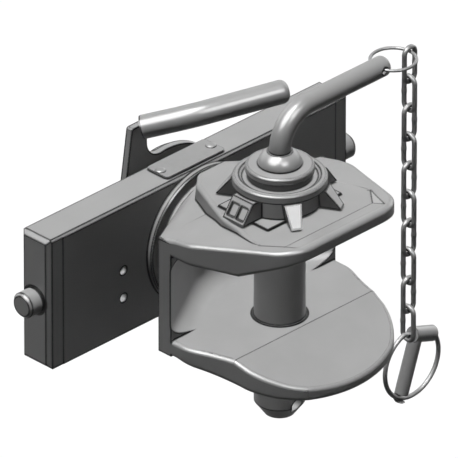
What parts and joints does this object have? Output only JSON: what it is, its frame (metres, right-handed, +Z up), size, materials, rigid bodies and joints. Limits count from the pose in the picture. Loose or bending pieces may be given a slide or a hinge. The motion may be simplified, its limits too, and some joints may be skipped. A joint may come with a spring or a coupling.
{
  "type": "clevis trailer coupling",
  "caption": "Height-adjustable clevis coupling: carrier plate with locking bolts and release lever, swivelling jaw, hand-lifted pin, linch pin on a chain.",
  "frame": {"origin": "coupling point: where the coupling pin's axis meets the jaw's swivel axis, half way up the jaw's gap", "axes": "+X along the carrier plate, -Y out of the jaw's mouth, +Z up along the coupling pin"},
  "size_m": [0.337, 0.2133, 0.3019],
  "materials": {
    "cast_iron_grey": "shot-blasted casting, light oil",
    "plate_steel": "thin grey primer over milled steel",
    "lever_steel": "thin grey primer over flame-cut steel",
    "turned_steel": "turned, faint tool marks",
    "bar_steel": "drawn round bar, satin",
    "zinc_wire": "zinc-plated wire, satin",
    "hardened_bush": "hardened, ground",
    "spring_steel": "oil-blued spring wire",
    "black_rubber": "matt black rubber",
    "sheet_steel": "rolled sheet, satin"
  },
  "bodies": {
    "carrier": {"carrier_plate": "plate_steel", "swivel_bush": "hardened_bush", "friction_ring": "turned_steel", "top_cover_clip": "sheet_steel", "cover_rivets": "sheet_steel", "brake_plug": "hardened_bush", "brake_spring": "spring_steel", "bolt_spring_left": "spring_steel", "bolt_spring_right": "spring_steel"},
    "bolt_left": {"locking_bolt_left": "turned_steel", "drive_peg_left": "turned_steel"},
    "bolt_right": {"locking_bolt_right": "turned_steel", "drive_peg_right": "turned_steel"},
    "release_lever": {"lever_plate": "lever_steel", "lever_handle": "bar_steel"},
    "jaw": {"jaw_body": "cast_iron_grey", "thrust_washer": "hardened_bush", "rear_disc": "turned_steel", "rear_disc_screws": "spring_steel", "upper_pin_bush": "hardened_bush", "lower_pin_bush": "hardened_bush", "star_crown": "cast_iron_grey"},
    "collar": {"buffer_ring": "black_rubber", "pin_collar": "turned_steel"},
    "pin": {"coupling_pin": "turned_steel", "pin_handle": "bar_steel"},
    "ring": {"handle_ring": "zinc_wire"},
    "chain_link_01": {"link_01": "zinc_wire"},
    "chain_link_02": {"link_02": "zinc_wire"},
    "chain_link_03": {"link_03": "zinc_wire"},
    "chain_link_04": {"link_04": "zinc_wire"},
    "chain_link_05": {"link_05": "zinc_wire"},
    "chain_link_06": {"link_06": "zinc_wire"},
    "chain_link_07": {"link_07": "zinc_wire"},
    "chain_link_08": {"link_08": "zinc_wire"},
    "chain_link_09": {"link_09": "zinc_wire"},
    "chain_link_10": {"link_10": "zinc_wire"},
    "bail": {"linch_bail": "zinc_wire"},
    "linch": {"linch_pin": "zinc_wire"}
  },
  "joints": [
    {"name": "lever_swing", "type": "hinge", "parent": "carrier", "child": "release_lever", "pos_m": [0, 0.118, 0], "axis": [0, -1, 0], "range_deg": [0, 25]},
    {"name": "bolt_left_slide", "type": "slide", "parent": "carrier", "child": "bolt_left", "axis": [1, 0, 0], "range_m": [0, 0.0146], "stiffness_N_per_m": 1200, "springref_m": -0.008, "deforming": ["bolt_spring_left"]},
    {"name": "bolt_right_slide", "type": "slide", "parent": "carrier", "child": "bolt_right", "axis": [-1, 0, 0], "range_m": [0, 0.0146], "stiffness_N_per_m": 1200, "springref_m": -0.008, "deforming": ["bolt_spring_right"]},
    {"name": "jaw_swivel", "type": "hinge", "parent": "carrier", "child": "jaw", "pos_m": [0, 0.097, 0], "axis": [0, 1, 0], "continuous": true},
    {"name": "pin_lift", "type": "slide", "parent": "jaw", "child": "collar", "axis": [0, 0, 1], "range_m": [0, 0.155]},
    {"name": "pin_turn", "type": "hinge", "parent": "collar", "child": "pin", "pos_m": [0, 0, 0], "axis": [0, 0, 1], "range_deg": [-190, 10]},
    {"name": "ring_tilt", "type": "hinge", "parent": "pin", "child": "ring", "pos_m": [0.101, 0, 0.13], "axis": [0, 1, 0], "range_deg": [0, 90]},
    {"name": "link_01_swing", "type": "hinge", "parent": "ring", "child": "chain_link_01", "pos_m": [0.134, 0, 0.1308], "axis": [0, 1, 0], "range_deg": [-91, 1]},
    {"name": "link_02_swing", "type": "hinge", "parent": "chain_link_01", "child": "chain_link_02", "pos_m": [0.134, 0, 0.10585], "axis": [-1, 0, 0], "range_deg": [-15, 25]},
    {"name": "link_03_swing", "type": "hinge", "parent": "chain_link_02", "child": "chain_link_03", "pos_m": [0.134, 0, 0.08155], "axis": [0, -1, 0], "range_deg": [-7, 25]},
    {"name": "link_04_swing", "type": "hinge", "parent": "chain_link_03", "child": "chain_link_04", "pos_m": [0.134, 0, 0.05725], "axis": [-1, 0, 0], "range_deg": [-15, 25]},
    {"name": "link_05_swing", "type": "hinge", "parent": "chain_link_04", "child": "chain_link_05", "pos_m": [0.134, 0, 0.03295], "axis": [0, -1, 0], "range_deg": [-7, 25]},
    {"name": "link_06_swing", "type": "hinge", "parent": "chain_link_05", "child": "chain_link_06", "pos_m": [0.134, 0, 0.00865], "axis": [-1, 0, 0], "range_deg": [-15, 25]},
    {"name": "link_07_swing", "type": "hinge", "parent": "chain_link_06", "child": "chain_link_07", "pos_m": [0.134, 0, -0.01565], "axis": [0, -1, 0], "range_deg": [-7, 25]},
    {"name": "link_08_swing", "type": "hinge", "parent": "chain_link_07", "child": "chain_link_08", "pos_m": [0.134, 0, -0.03995], "axis": [-1, 0, 0], "range_deg": [-15, 25]},
    {"name": "link_09_swing", "type": "hinge", "parent": "chain_link_08", "child": "chain_link_09", "pos_m": [0.134, 0, -0.06425], "axis": [0, -1, 0], "range_deg": [-7, 25]},
    {"name": "link_10_swing", "type": "hinge", "parent": "chain_link_09", "child": "chain_link_10", "pos_m": [0.134, 0, -0.08855], "axis": [-1, 0, 0], "range_deg": [-15, 25]},
    {"name": "bail_swing", "type": "hinge", "parent": "chain_link_10", "child": "bail", "pos_m": [0.134, 0, -0.11285], "axis": [0, 1, 0], "range_deg": [-25, 5]},
    {"name": "linch_pin_open", "type": "hinge", "parent": "bail", "child": "linch", "pos_m": [0.14535, 0, -0.1128], "axis": [0.9455, 0, -0.3256], "range_deg": [0, 120]}
  ],
  "couplings": [
    {"joint": "bolt_left_slide", "follows": "lever_swing", "m_per_rad": 0.033232},
    {"joint": "bolt_right_slide", "follows": "lever_swing", "m_per_rad": 0.033232},
    {"joint": "link_01_swing", "follows": "ring_tilt", "ratio": -1}
  ]
}
